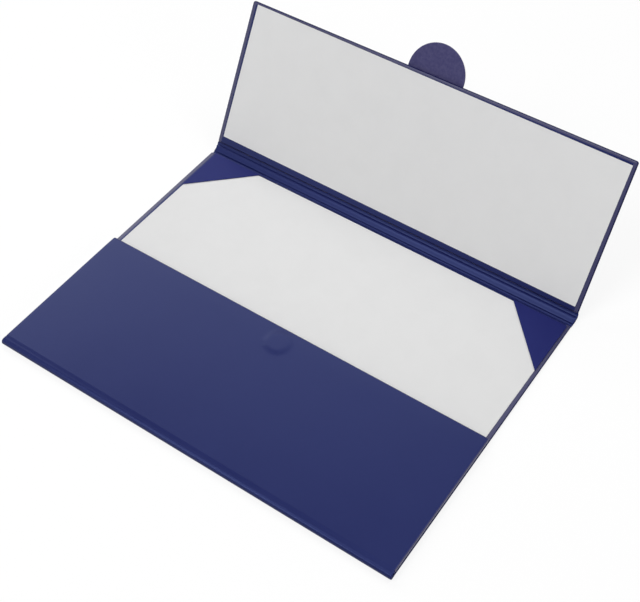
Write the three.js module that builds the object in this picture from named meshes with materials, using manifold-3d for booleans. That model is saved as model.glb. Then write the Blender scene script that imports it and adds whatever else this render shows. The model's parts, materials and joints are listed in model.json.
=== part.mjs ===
// A hard gate-fold diploma cover, in millimetres: x across, y from front to back, z up.
// The back panel lies on the table. The lower flap is folded over its front half, and the upper
// flap stands open behind it. Each flap turns on a narrow spine strip between two fold lines.
// Boards are wrapped in a smooth sheet whose edges are turned in under white linings.
import * as THREE from 'three';
import { mergeVertices } from 'three/addons/utils/BufferGeometryUtils.js';
import Module from 'manifold-3d';

const wasm = await Module();
wasm.setup();

// The closed cover
const COVER_WIDTH = 311.4;
const CLOSED_DEPTH = 232;
const LOWER_FLAP_DEPTH = 115.6;
const SEAM_GAP = 0.5;

// Thicknesses of the sheet goods, and the glue line between any two of them
const SHEET = 0.35;
const BOARD = 1.8;
const STRIP_CARD = 1.1;
const LINING = 0.2;
const GLUE_GAP = 0.1;

// The wrapped edges: how far the sheet is turned in, and how round it leaves the panel
const TURN_IN = 15;
const EDGE_ROUND = 0.9;
const CORNER_ROUND = 1.6;
const ARC_STEPS = 5;

// Fold lines lie this far above a panel's outer face, where outer sheet and joint cloth meet
const FOLD_HEIGHT = 0.9;
const FOLD_RELIEF = 0.1;
const FOLD_END_INSET = 0.2;
const SHEET_BEND = 0.4;
const SHEET_STEP = 0.8;
const CLOTH_REACH = 14;
const CLOTH_SLOPE = 0.2;

// Spine strips: distance between the two fold lines, gutter beside each panel, setback of the card
const BACK_SPINE = { pitch: 7.85, gutter: 2.3, setback: 1.1 };
const FRONT_SPINE = { pitch: 4.5, gutter: 4, setback: 1.1 };

// How the cover stands: degrees that each part is turned up from lying flat
const BACK_SPINE_TURN = 30.35;
const UPPER_FLAP_TURN = 60.7;
const FRONT_SPINE_TURN = 90;
const LOWER_FLAP_TURN = 180;

// Linings: bare margins around them, and how far off centre and off square they were laid
const LINING_SIDE_MARGIN = 3.7;
const LINING_FREE_MARGIN = 2.5;
const LINING_FOLD_MARGIN = 4.65;
const BACK_LINING_MARGIN = 1.6;
const LINING_SHIFT = 0.65;
const LINING_SKEW = -0.35;

// Corner pockets: legs along the lining's side and back edges, and the slot for the paper
const POCKET_LEFT = { side: 40, back: 41.3 };
const POCKET_RIGHT = { side: 44.5, back: 40.6 };
const POCKET_SLOT = 0.3;

// The round tab, how far off centre it was laid, and the two magnets that meet in the closed cover
const TAB_RADIUS = 22.3;
const TAB_OVERREACH = 0.6;
const TAB_SHIFT = 0.3;
const TAB_SKIN = 0.3;
const TAB_CORE = 0.7;
const MAGNET_RADIUS = 5.5;
const MAGNET_OVERREACH = 13;
const LOWER_MAGNET = 1.2;
const BUMP_HEIGHT = 0.5;
const BUMP_FOOT = 3.9;
const ROUND_STEPS = 64;

// How far a cutting block runs past what it cuts
const CUT_OVERRUN = 1;

// Values that follow from the ones above
const PANEL_RIM = BOARD + 2 * (SHEET + GLUE_GAP);
const STRIP_RIM = STRIP_CARD + 2 * (SHEET + GLUE_GAP);
const LINING_TOP = PANEL_RIM + GLUE_GAP + LINING;
const TONGUE_HALF = SHEET + GLUE_GAP / 2;
const TONGUE_LOW = FOLD_HEIGHT - (SHEET + GLUE_GAP) / 2;
const TONGUE_HIGH = FOLD_HEIGHT + (SHEET + GLUE_GAP) / 2;
const FOLD_REACH = CLOSED_DEPTH / 2 - FOLD_HEIGHT;
const LOWER_REACH = LOWER_FLAP_DEPTH - FOLD_HEIGHT;
const UPPER_REACH = CLOSED_DEPTH - FOLD_HEIGHT - LOWER_FLAP_DEPTH - SEAM_GAP;
const LOWER_MAGNET_Y = LOWER_REACH + SEAM_GAP - MAGNET_OVERREACH;
const BACK_END = FOLD_REACH - BACK_SPINE.gutter;
const FRONT_END = FOLD_REACH - FRONT_SPINE.gutter;
const HALF = COVER_WIDTH / 2;
const FOLD_HALF = HALF - FOLD_END_INSET;
const WELL_HALF = HALF - TURN_IN;

const FINISHES = {
  navy: { color: 0x343c72, roughness: 0.42, metalness: 0 },
  white: { color: 0xe6e6e4, roughness: 0.7, metalness: 0 },
  greyboard: { color: 0x8c8578, roughness: 0.9, metalness: 0 },
  nickel: { color: 0xc9c9cc, roughness: 0.25, metalness: 1 },
};

// Solids

function solid(geometry) {
  const bare = geometry.clone();
  bare.deleteAttribute('normal');
  bare.deleteAttribute('uv');
  const merged = mergeVertices(bare);
  const vertProperties = new Float32Array(merged.attributes.position.array);
  const triVerts = new Uint32Array(merged.index.array);
  return new wasm.Manifold(new wasm.Mesh({ numProp: 3, vertProperties, triVerts }));
}

function addPiece(parent, name, body, finish) {
  const faces = body.getMesh();
  const geometry = new THREE.BufferGeometry();
  geometry.setAttribute('position', new THREE.BufferAttribute(faces.vertProperties, 3));
  geometry.setIndex(new THREE.BufferAttribute(faces.triVerts, 1));
  geometry.computeVertexNormals();
  const piece = new THREE.Mesh(geometry, new THREE.MeshStandardMaterial(FINISHES[finish]));
  piece.name = name;
  parent.add(piece);
}

function extrude(shape, length) {
  return new THREE.ExtrudeGeometry(shape, {
    depth: length,
    bevelEnabled: false,
    curveSegments: ARC_STEPS,
  });
}

// A profile drawn in y and z, run across the cover from -half to half
function runAcross(shape, half) {
  const turn = new THREE.Matrix4().makeBasis(
    new THREE.Vector3(0, 1, 0),
    new THREE.Vector3(0, 0, 1),
    new THREE.Vector3(1, 0, 0),
  );
  return solid(extrude(shape, 2 * half).translate(0, 0, -half).applyMatrix4(turn));
}

// A section drawn in x and z, run along y from start to end
function runAlong(shape, start, end) {
  return solid(extrude(shape, end - start).rotateX(Math.PI / 2).translate(0, end, 0));
}

// An outline drawn in x and y, raised from low to high
function raise(shape, low, high) {
  return solid(extrude(shape, high - low).translate(0, 0, low));
}

// A turned profile of [radius, z] points around a vertical axis at x = 0 and the given y
function turned(profile, y) {
  const points = profile.map(([radius, z]) => new THREE.Vector2(radius, z));
  const lathe = new THREE.LatheGeometry(points, ROUND_STEPS);
  return solid(lathe.rotateX(Math.PI / 2).translate(0, y, 0));
}

// Shapes

// A rectangle whose first-axis low side has corner radius lowRound, and high side highRound
function roundedRectangle(a0, b0, a1, b1, lowRound, highRound) {
  const shape = new THREE.Shape();
  const corner = (a, b, round, from) => {
    if (round > 0) {
      shape.absarc(a, b, round, from, from + Math.PI / 2, false);
    } else {
      shape.lineTo(a, b);
    }
  };
  shape.moveTo(a0 + lowRound, b0);
  corner(a1 - highRound, b0 + highRound, highRound, -Math.PI / 2);
  corner(a1 - highRound, b1 - highRound, highRound, 0);
  corner(a0 + lowRound, b1 - lowRound, lowRound, Math.PI / 2);
  corner(a0 + lowRound, b0 + lowRound, lowRound, Math.PI);
  shape.closePath();
  return shape;
}

// A round bar along a fold line, cut down to the layer above or below the glue line there
function foldBead(y, low, high) {
  const bar = new THREE.Shape().absarc(y, FOLD_HEIGHT, TONGUE_HALF, 0, 2 * Math.PI, false);
  const layer = roundedRectangle(y - TONGUE_HALF, low, y + TONGUE_HALF, high, 0, 0);
  return runAcross(bar, FOLD_HALF).intersect(runAcross(layer, FOLD_HALF));
}

// The section of a sheet of even thickness that follows a bent line, with each bend rounded
function sheetSection(corners, bend) {
  const line = new THREE.Path();
  line.moveTo(corners[0].x, corners[0].y);
  for (let i = 1; i < corners.length - 1; i += 1) {
    const before = corners[i - 1].clone().sub(corners[i]);
    const after = corners[i + 1].clone().sub(corners[i]);
    const cut = Math.min(bend, before.length() / 2, after.length() / 2);
    const enter = corners[i].clone().add(before.setLength(cut));
    const leave = corners[i].clone().add(after.setLength(cut));
    line.lineTo(enter.x, enter.y);
    line.quadraticCurveTo(corners[i].x, corners[i].y, leave.x, leave.y);
  }
  const last = corners[corners.length - 1];
  line.lineTo(last.x, last.y);

  const points = line.getPoints(ARC_STEPS).filter((point, i, all) => {
    return i === 0 || point.distanceTo(all[i - 1]) > 1e-6;
  });
  const left = [];
  const right = [];
  points.forEach((point, i) => {
    const back = points[Math.max(i - 1, 0)];
    const ahead = points[Math.min(i + 1, points.length - 1)];
    const inward = point === back ? ahead.clone().sub(point) : point.clone().sub(back);
    const outward = point === ahead ? point.clone().sub(back) : ahead.clone().sub(point);
    const along = inward.normalize().add(outward.normalize()).normalize();
    const normal = new THREE.Vector2(-along.y, along.x);
    const mitre = SHEET / 2 / normal.dot(new THREE.Vector2(-outward.y, outward.x));
    left.push(point.clone().addScaledVector(normal, mitre));
    right.unshift(point.clone().addScaledVector(normal, -mitre));
  });
  return new THREE.Shape([...left, ...right]);
}

// Corners of a bent line given as [distance, z] pairs, measured from y = end in direction way
function pathFrom(end, way, pairs) {
  return pairs.map(([distance, z]) => new THREE.Vector2(end + way * distance, z));
}

// Wrapped panels

// The rounded block that a wrapped panel fills, shrunk by inset on every wrapped side.
// A flap has a free end at its last y, and the back panel has fold lines at both ends.
function panelBlock(inset, start, end, freeEnd) {
  const low = inset;
  const high = PANEL_RIM - inset;
  const half = HALF - inset;
  const round = EDGE_ROUND - inset;
  const sides = roundedRectangle(-half, low, half, high, round, round);
  if (!freeEnd) {
    return runAlong(sides, start, end);
  }
  const last = end - inset;
  const profile = roundedRectangle(start, low, last, high, 0, round);
  const plan = new THREE.Shape();
  const bend = CORNER_ROUND - inset;
  plan.moveTo(-half, start);
  plan.lineTo(half, start);
  plan.absarc(half - bend, last - bend, bend, 0, Math.PI / 2, false);
  plan.absarc(-half + bend, last - bend, bend, Math.PI / 2, Math.PI, false);
  plan.closePath();
  return runAlong(sides, start, end)
    .intersect(runAcross(profile, HALF))
    .intersect(raise(plan, 0, PANEL_RIM));
}

function wellOutline(start, end) {
  return roundedRectangle(-WELL_HALF, start, WELL_HALF, end, 0, 0);
}

// The outer sheet's step up into the gutter, ending just short of the fold line
function outerTongue(end, way, gutter) {
  const section = sheetSection(pathFrom(end, way, [
    [-2 * SHEET_BEND, SHEET / 2],
    [GLUE_GAP, SHEET / 2],
    [GLUE_GAP + SHEET_STEP, TONGUE_LOW],
    [gutter - TONGUE_HALF - FOLD_RELIEF, TONGUE_LOW],
  ]), SHEET_BEND);
  return runAcross(section, FOLD_HALF);
}

// The joint cloth: over the board's inner face between the turned-in sides, down the board's end,
// and along the gutter on top of the outer sheet
function jointCloth(end, way, gutter) {
  const wall = GLUE_GAP + SHEET / 2;
  const section = sheetSection(pathFrom(end, way, [
    [-CLOTH_REACH, PANEL_RIM - SHEET / 2],
    [wall, PANEL_RIM - SHEET / 2],
    [wall + CLOTH_SLOPE, TONGUE_HIGH],
    [gutter - TONGUE_HALF - FOLD_RELIEF, TONGUE_HIGH],
  ]), SHEET_BEND);
  const edge = end + way * GLUE_GAP;
  const far = end + way * gutter;
  const gutterSide = roundedRectangle(Math.min(edge, far), 0, Math.max(edge, far), PANEL_RIM, 0, 0);
  return runAcross(section, WELL_HALF - GLUE_GAP)
    .add(runAcross(section, FOLD_HALF).intersect(runAcross(gutterSide, FOLD_HALF)));
}

// The outer sheet of one flap, wrapped round three sides and turned in over the board
function flapSkin(gutter, reach) {
  const hollow = panelBlock(SHEET, gutter - CUT_OVERRUN, reach, true);
  const wellPlan = wellOutline(gutter - CUT_OVERRUN, reach - TURN_IN);
  const well = raise(wellPlan, PANEL_RIM / 2, PANEL_RIM + CUT_OVERRUN);
  return panelBlock(0, gutter, reach, true)
    .subtract(hollow)
    .subtract(well)
    .add(outerTongue(gutter, -1, gutter));
}

function flapBoard(gutter, reach) {
  return panelBlock(SHEET + GLUE_GAP, gutter, reach, true);
}

// A lining over the turned-in edges, with a pad behind it that fills the well down to the board
function lining(low, high, wellLow, wellHigh) {
  const side = HALF - LINING_SIDE_MARGIN;
  const sheet = raise(roundedRectangle(-side, low, side, high, 0, 0), PANEL_RIM + GLUE_GAP, LINING_TOP);
  const room = 2 * GLUE_GAP + Math.abs(LINING_SHIFT) + side * Math.abs(Math.sin(skewAngle()));
  const padSide = WELL_HALF - room;
  const pad = roundedRectangle(-padSide, wellLow + room, padSide, wellHigh - room, 0, 0);
  return sheet.add(raise(pad, PANEL_RIM - SHEET, LINING_TOP));
}

function skewAngle() {
  return THREE.MathUtils.degToRad(LINING_SKEW);
}

// A group that carries what was laid a little off centre and off square about the middle y
function laidGroup(parent, middle) {
  const laid = new THREE.Group();
  laid.position.set(LINING_SHIFT, middle, 0);
  laid.rotation.z = skewAngle();
  parent.add(laid);
  return laid;
}

// Spine strips

// The outer sheet under a strip's card, closed at both ends and rounded off at both fold lines
function spineSkin({ pitch, setback }) {
  const slopeEnd = setback - SHEET / 2;
  const section = sheetSection(pathFrom(0, 1, [
    [0, TONGUE_LOW],
    [SHEET, TONGUE_LOW],
    [slopeEnd, SHEET / 2],
    [pitch - slopeEnd, SHEET / 2],
    [pitch - SHEET, TONGUE_LOW],
    [pitch, TONGUE_LOW],
  ]), SHEET_BEND);
  const capTop = STRIP_RIM - SHEET - GLUE_GAP;
  const cap = roundedRectangle(setback, SHEET / 2, pitch - setback, capTop, 0, 0);
  const bead = foldBead(0, 0, FOLD_HEIGHT - GLUE_GAP / 2);
  return runAcross(section, FOLD_HALF)
    .add(runAcross(cap, FOLD_HALF).subtract(runAcross(cap, FOLD_HALF - SHEET)))
    .add(bead)
    .add(bead.translate([0, pitch, 0]));
}

function spineCard({ pitch, setback }) {
  const low = SHEET + GLUE_GAP;
  const shape = roundedRectangle(setback, low, pitch - setback, low + STRIP_CARD, 0, 0);
  return runAcross(shape, FOLD_HALF - SHEET - GLUE_GAP);
}

// The joint cloth over a strip's card, rounded off at both fold lines
function spineFacing({ pitch, setback }) {
  const wall = setback - GLUE_GAP - SHEET / 2;
  const top = STRIP_RIM - SHEET / 2;
  const section = sheetSection(pathFrom(0, 1, [
    [0, TONGUE_HIGH],
    [wall, TONGUE_HIGH],
    [wall, top],
    [pitch - wall, top],
    [pitch - wall, TONGUE_HIGH],
    [pitch, TONGUE_HIGH],
  ]), SHEET_BEND);
  const bead = foldBead(0, FOLD_HEIGHT + GLUE_GAP / 2, STRIP_RIM);
  return runAcross(section, FOLD_HALF).add(bead).add(bead.translate([0, pitch, 0]));
}

// Corner pockets

// A triangular sheet over one back corner of the lining, with its two outer edges turned down.
// The corner of the lining is at [0, 0], and side is -1 on the left and 1 on the right.
function cornerPocket(legs, side) {
  const outline = (grow) => {
    const shape = new THREE.Shape();
    const slope = legs.side / legs.back;
    shape.moveTo(side * grow, grow);
    shape.lineTo(-side * (legs.back + grow / slope), grow);
    shape.lineTo(side * grow, -(legs.side + grow * slope));
    shape.closePath();
    return shape;
  };
  const openOutline = new THREE.Shape();
  openOutline.moveTo(side * GLUE_GAP, GLUE_GAP);
  openOutline.lineTo(-side * 2 * legs.back, GLUE_GAP);
  openOutline.lineTo(side * GLUE_GAP, -2 * legs.side);
  openOutline.closePath();
  const low = PANEL_RIM + GLUE_GAP;
  const slotTop = LINING_TOP + POCKET_SLOT;
  return raise(outline(GLUE_GAP + SHEET), low, slotTop + SHEET)
    .subtract(raise(openOutline, low - CUT_OVERRUN, slotTop));
}

// The back panel

function buildBackPanel(cover) {
  const cutFront = -FRONT_END - CUT_OVERRUN;
  const cutBack = BACK_END + CUT_OVERRUN;
  const skin = panelBlock(0, -FRONT_END, BACK_END, false)
    .subtract(panelBlock(SHEET, cutFront, cutBack, false))
    .subtract(raise(wellOutline(cutFront, cutBack), PANEL_RIM / 2, PANEL_RIM + CUT_OVERRUN))
    .add(outerTongue(BACK_END, 1, BACK_SPINE.gutter))
    .add(outerTongue(-FRONT_END, -1, FRONT_SPINE.gutter));
  addPiece(cover, 'back_panel_skin', skin, 'navy');
  const board = panelBlock(SHEET + GLUE_GAP, -FRONT_END, BACK_END, false);
  addPiece(cover, 'back_panel_board', board, 'greyboard');
  addPiece(cover, 'rear_joint_cloth', jointCloth(BACK_END, 1, BACK_SPINE.gutter), 'navy');
  addPiece(cover, 'front_joint_cloth', jointCloth(-FRONT_END, -1, FRONT_SPINE.gutter), 'navy');

  const linedBack = BACK_END - BACK_LINING_MARGIN;
  const linedFront = -FRONT_END + LINING_FOLD_MARGIN;
  const middle = (linedBack + linedFront) / 2;
  const laid = laidGroup(cover, middle);
  const sheet = lining(
    linedFront - middle,
    linedBack - middle,
    -FRONT_END + CLOTH_REACH - middle,
    BACK_END - CLOTH_REACH - middle,
  );
  addPiece(laid, 'back_panel_lining', sheet, 'white');

  const corner = HALF - LINING_SIDE_MARGIN;
  [['left', POCKET_LEFT, -1], ['right', POCKET_RIGHT, 1]].forEach(([word, legs, side]) => {
    const pocket = cornerPocket(legs, side).translate([side * corner, linedBack - middle, 0]);
    addPiece(laid, `corner_pocket_${word}`, pocket, 'navy');
  });
}

function buildSpine(spine, word, sizes) {
  addPiece(spine, `${word}_spine_skin`, spineSkin(sizes), 'navy');
  addPiece(spine, `${word}_spine_card`, spineCard(sizes), 'greyboard');
  addPiece(spine, `${word}_spine_facing`, spineFacing(sizes), 'navy');
}

function buildFlapLining(flap, word, gutter, reach) {
  const low = gutter + LINING_FOLD_MARGIN;
  const high = reach - LINING_FREE_MARGIN;
  const middle = (low + high) / 2;
  const wellLow = gutter + CLOTH_REACH - middle;
  const wellHigh = reach - TURN_IN - middle;
  const sheet = lining(low - middle, high - middle, wellLow, wellHigh);
  addPiece(laidGroup(flap, middle), `${word}_flap_lining`, sheet, 'white');
}

// The upper flap and its tab

function buildUpperFlap(flap) {
  const { gutter } = BACK_SPINE;
  addPiece(flap, 'upper_flap_skin', flapSkin(gutter, UPPER_REACH), 'navy');
  addPiece(flap, 'upper_flap_board', flapBoard(gutter, UPPER_REACH), 'greyboard');
  addPiece(flap, 'upper_flap_joint_cloth', jointCloth(gutter, -1, gutter), 'navy');
  buildFlapLining(flap, 'upper', gutter, UPPER_REACH);
}

function disc(radius, low, high, y) {
  return turned([[0, low], [radius, low], [radius, high], [0, high]], y);
}

// The tab lies on the flap's outer face, so its layers follow each other down from z = 0
function buildTab(flap) {
  const tab = new THREE.Group();
  tab.position.x = TAB_SHIFT;
  flap.add(tab);
  const centre = UPPER_REACH + TAB_OVERREACH;
  const magnetY = UPPER_REACH + MAGNET_OVERREACH;
  const frontLow = -GLUE_GAP - TAB_SKIN;
  addPiece(tab, 'tab_front_skin', disc(TAB_RADIUS, frontLow, -GLUE_GAP, centre), 'navy');

  const coreHigh = frontLow - GLUE_GAP;
  const coreLow = coreHigh - TAB_CORE;
  const coreRadius = TAB_RADIUS - TAB_SKIN - GLUE_GAP;
  const hole = disc(MAGNET_RADIUS + GLUE_GAP, coreLow - CUT_OVERRUN, coreHigh + CUT_OVERRUN, magnetY);
  const core = disc(coreRadius, coreLow, coreHigh, centre).subtract(hole);
  addPiece(tab, 'tab_core', core, 'greyboard');
  addPiece(tab, 'tab_magnet', disc(MAGNET_RADIUS, coreLow, coreHigh, magnetY), 'nickel');

  const cupFloor = coreLow - GLUE_GAP;
  const cup = disc(TAB_RADIUS, cupFloor - TAB_SKIN, coreHigh, centre)
    .subtract(disc(TAB_RADIUS - TAB_SKIN, cupFloor, coreHigh + CUT_OVERRUN, centre));
  addPiece(tab, 'tab_rear_skin', cup, 'navy');
}

// The lower flap and the bump over its magnet

// A low round swelling of the outer face at z = top, with a flat crown and an eased slope
function swelling(crown, foot, top, height, base) {
  const slope = [];
  for (let i = 0; i <= ARC_STEPS; i += 1) {
    const t = i / ARC_STEPS;
    const eased = t * t * (3 - 2 * t);
    slope.push([foot + (crown - foot) * t, top - height * eased]);
  }
  return turned([[0, top - height], ...slope.reverse(), [foot, base], [0, base]], LOWER_MAGNET_Y);
}

function buildLowerFlap(flap) {
  const { gutter } = FRONT_SPINE;
  const crown = MAGNET_RADIUS + GLUE_GAP;
  const swell = swelling(crown + SHEET, crown + BUMP_FOOT, 0, BUMP_HEIGHT, SHEET / 2);
  const under = swelling(crown, crown + BUMP_FOOT - SHEET, SHEET, BUMP_HEIGHT, SHEET + GLUE_GAP);
  const skin = flapSkin(gutter, LOWER_REACH).add(swell).subtract(under);
  addPiece(flap, 'lower_flap_skin', skin, 'navy');

  const magnetLow = SHEET - BUMP_HEIGHT + GLUE_GAP;
  const magnetHigh = magnetLow + LOWER_MAGNET;
  const recess = disc(crown, 0, magnetHigh + GLUE_GAP, LOWER_MAGNET_Y);
  const board = flapBoard(gutter, LOWER_REACH).subtract(recess);
  addPiece(flap, 'lower_flap_board', board, 'greyboard');
  const magnet = disc(MAGNET_RADIUS, magnetLow, magnetHigh, LOWER_MAGNET_Y);
  addPiece(flap, 'lower_flap_magnet', magnet, 'nickel');
  addPiece(flap, 'lower_flap_joint_cloth', jointCloth(gutter, -1, gutter), 'navy');
  buildFlapLining(flap, 'lower', gutter, LOWER_REACH);
}

// A part turned about the fold line at foldY on its parent. Its own fold line is at y = 0, and
// z = 0 is its outer face again.
function foldedPart(parent, foldY, degrees) {
  const pivot = new THREE.Group();
  pivot.position.set(0, foldY, FOLD_HEIGHT);
  pivot.rotation.x = THREE.MathUtils.degToRad(degrees);
  const part = new THREE.Group();
  part.position.z = -FOLD_HEIGHT;
  pivot.add(part);
  parent.add(pivot);
  return part;
}

const cover = new THREE.Group();
buildBackPanel(cover);

const backSpine = foldedPart(cover, FOLD_REACH, BACK_SPINE_TURN);
buildSpine(backSpine, 'back', BACK_SPINE);
const upperFlap = foldedPart(backSpine, BACK_SPINE.pitch, UPPER_FLAP_TURN - BACK_SPINE_TURN);
buildUpperFlap(upperFlap);
buildTab(upperFlap);

// The front side is laid out like the back, facing the other way
const frontSide = new THREE.Group();
frontSide.rotation.z = Math.PI;
cover.add(frontSide);
const frontSpine = foldedPart(frontSide, FOLD_REACH, FRONT_SPINE_TURN);
buildSpine(frontSpine, 'front', FRONT_SPINE);
const lowerFlap = foldedPart(frontSpine, FRONT_SPINE.pitch, LOWER_FLAP_TURN - FRONT_SPINE_TURN);
buildLowerFlap(lowerFlap);

export default cover;
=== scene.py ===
"""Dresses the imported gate-fold diploma cover and sets it up for its picture.

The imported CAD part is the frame. The boards, the strips' cards, the tab's core and the magnets stay as
they are and get their materials here. Everything that shows is modelled again around them: the wrapped
sheet of each panel, a soft band over each of the four fold lines, the white linings, the two corner
pockets and the round tab.
"""

import json
import logging
import math
from collections.abc import Callable, Iterable
from dataclasses import dataclass
from enum import Enum

import bmesh
import bpy
from mathutils import Matrix, Vector


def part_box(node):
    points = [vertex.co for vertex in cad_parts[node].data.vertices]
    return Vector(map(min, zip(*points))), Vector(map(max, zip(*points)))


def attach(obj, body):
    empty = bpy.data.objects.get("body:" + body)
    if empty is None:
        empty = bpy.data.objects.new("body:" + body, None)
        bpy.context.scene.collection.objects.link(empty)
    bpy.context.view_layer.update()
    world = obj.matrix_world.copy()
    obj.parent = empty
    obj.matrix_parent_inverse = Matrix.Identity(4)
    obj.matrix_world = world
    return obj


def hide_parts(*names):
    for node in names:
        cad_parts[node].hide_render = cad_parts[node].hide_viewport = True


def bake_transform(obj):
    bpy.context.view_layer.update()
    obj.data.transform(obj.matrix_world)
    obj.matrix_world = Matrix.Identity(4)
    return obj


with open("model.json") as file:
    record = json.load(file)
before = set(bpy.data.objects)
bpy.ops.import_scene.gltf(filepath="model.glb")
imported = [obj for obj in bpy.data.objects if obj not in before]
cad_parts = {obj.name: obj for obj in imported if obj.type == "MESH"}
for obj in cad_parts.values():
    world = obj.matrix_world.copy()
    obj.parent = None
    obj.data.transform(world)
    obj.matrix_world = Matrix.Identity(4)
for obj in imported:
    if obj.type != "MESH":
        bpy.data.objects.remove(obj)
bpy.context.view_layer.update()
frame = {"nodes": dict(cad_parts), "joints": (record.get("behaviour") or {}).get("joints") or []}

log = logging.getLogger("diploma_cover")

MM = 0.001


# Small helpers


def linear(code: str) -> tuple[float, float, float, float]:
    """Turns an sRGB hex colour into the linear one that a shader takes.

    Args:
        code: The colour as "#rrggbb".

    Returns:
        Red, green, blue and an alpha of 1.
    """
    parts = [int(code[i : i + 2], 16) / 255 for i in (1, 3, 5)]
    made = [p / 12.92 if p <= 0.04045 else ((p + 0.055) / 1.055) ** 2.4 for p in parts]
    return (made[0], made[1], made[2], 1.0)


def add_node(tree: bpy.types.NodeTree, kind: str, sockets: dict | None = None, **settings) -> bpy.types.Node:
    """Adds a node with its settings, values and links.

    Args:
        tree: The node tree that gets the node.
        kind: The node's type, such as "ShaderNodeTexNoise".
        sockets: For each input, by name or index, a value or the output socket to link to it.
        **settings: The node's own properties.

    Returns:
        The new node.
    """
    node = tree.nodes.new(kind)
    for name, value in settings.items():
        setattr(node, name, value)
    for key, value in (sockets or {}).items():
        if isinstance(value, bpy.types.NodeSocket):
            tree.links.new(value, node.inputs[key])
        else:
            node.inputs[key].default_value = value
    return node


def ease(t: float) -> float:
    """Goes from 0 to 1 as t does, level at both ends."""
    t = min(1.0, max(0.0, t))
    return t * t * (3 - 2 * t)


def through(points: tuple[tuple[float, float], ...], y: float) -> float:
    """Reads a profile that runs softly through its points and is level at each of them.

    Args:
        points: The profile's points as (y, height), in order of y.
        y: Where to read it.

    Returns:
        The height there.
    """
    if y <= points[0][0]:
        return points[0][1]
    for (y0, high0), (y1, high1) in zip(points, points[1:]):
        if y <= y1:
            return high0 + (high1 - high0) * ease((y - y0) / (y1 - y0))
    return points[-1][1]


def per_mm(size: float) -> float:
    """Gives the texture scale of a pattern whose cells are size millimetres across."""
    return 1 / (size * MM)


# Finishes


def new_material(name: str) -> tuple[bpy.types.Material, bpy.types.NodeTree]:
    """Starts an empty node material.

    Args:
        name: The material's name.

    Returns:
        The material and its node tree.
    """
    material = bpy.data.materials.new(name)
    material.use_nodes = True
    material.node_tree.nodes.clear()
    return material, material.node_tree


@dataclass(frozen=True)
class PolyurethaneLeather:
    """Smooth bonded leather: a cast polyurethane film on cloth, embossed with a very fine grain.

    The film gives a satin surface that holds a broad, soft reflection and no sharp one.
    """

    name: str
    colour: str
    worn: str
    gloss_tint: str = "#a7bbff"
    gloss: float = 0.31
    roughness: float = 0.33
    grain: float = 1.1
    grain_height: float = 0.012
    ripple: float = 42.0
    ripple_height: float = 0.10
    mottle: float = 55.0

    def make(self) -> bpy.types.Material:
        """Makes the material.

        Returns:
            The finished material.
        """
        material, tree = new_material(self.name)
        place = add_node(tree, "ShaderNodeTexCoord").outputs["Object"]
        mottle = add_node(
            tree, "ShaderNodeTexNoise", {"Vector": place, "Scale": per_mm(self.mottle), "Detail": 3.0}
        )
        spread = add_node(
            tree,
            "ShaderNodeMapRange",
            {"Value": mottle.outputs["Fac"], "From Min": 0.35, "From Max": 0.65},
        )
        colour = add_node(
            tree,
            "ShaderNodeMix",
            {"Factor": spread.outputs["Result"], 6: linear(self.colour), 7: linear(self.worn)},
            data_type="RGBA",
        )
        gloss = add_node(
            tree,
            "ShaderNodeMapRange",
            {
                "Value": mottle.outputs["Fac"],
                "From Min": 0.3,
                "From Max": 0.7,
                "To Min": self.roughness - 0.02,
                "To Max": self.roughness + 0.02,
            },
        )
        # The embossed grain is about 0.4 mm on the real film. It is drawn coarser here so that it shows.
        pebble = add_node(
            tree,
            "ShaderNodeTexVoronoi",
            {"Vector": place, "Scale": per_mm(self.grain), "Randomness": 1.0, "Smoothness": 0.6},
            feature="SMOOTH_F1",
        )
        grain = add_node(
            tree,
            "ShaderNodeBump",
            {"Height": pebble.outputs["Distance"], "Distance": self.grain_height * MM, "Strength": 1.0},
        )
        swell = add_node(
            tree, "ShaderNodeTexNoise", {"Vector": place, "Scale": per_mm(self.ripple), "Detail": 1.0}
        )
        ripple = add_node(
            tree,
            "ShaderNodeBump",
            {
                "Height": swell.outputs["Fac"],
                "Distance": self.ripple_height * MM,
                "Strength": 1.0,
                "Normal": grain.outputs["Normal"],
            },
        )
        shader = add_node(
            tree,
            "ShaderNodeBsdfPrincipled",
            {
                "Base Color": colour.outputs[2],
                "Roughness": gloss.outputs["Result"],
                "IOR": 1.5,
                "Specular IOR Level": self.gloss,
                "Specular Tint": linear(self.gloss_tint),
                "Normal": ripple.outputs["Normal"],
            },
        )
        add_node(tree, "ShaderNodeOutputMaterial", {"Surface": shader.outputs["BSDF"]})
        return material


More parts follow.
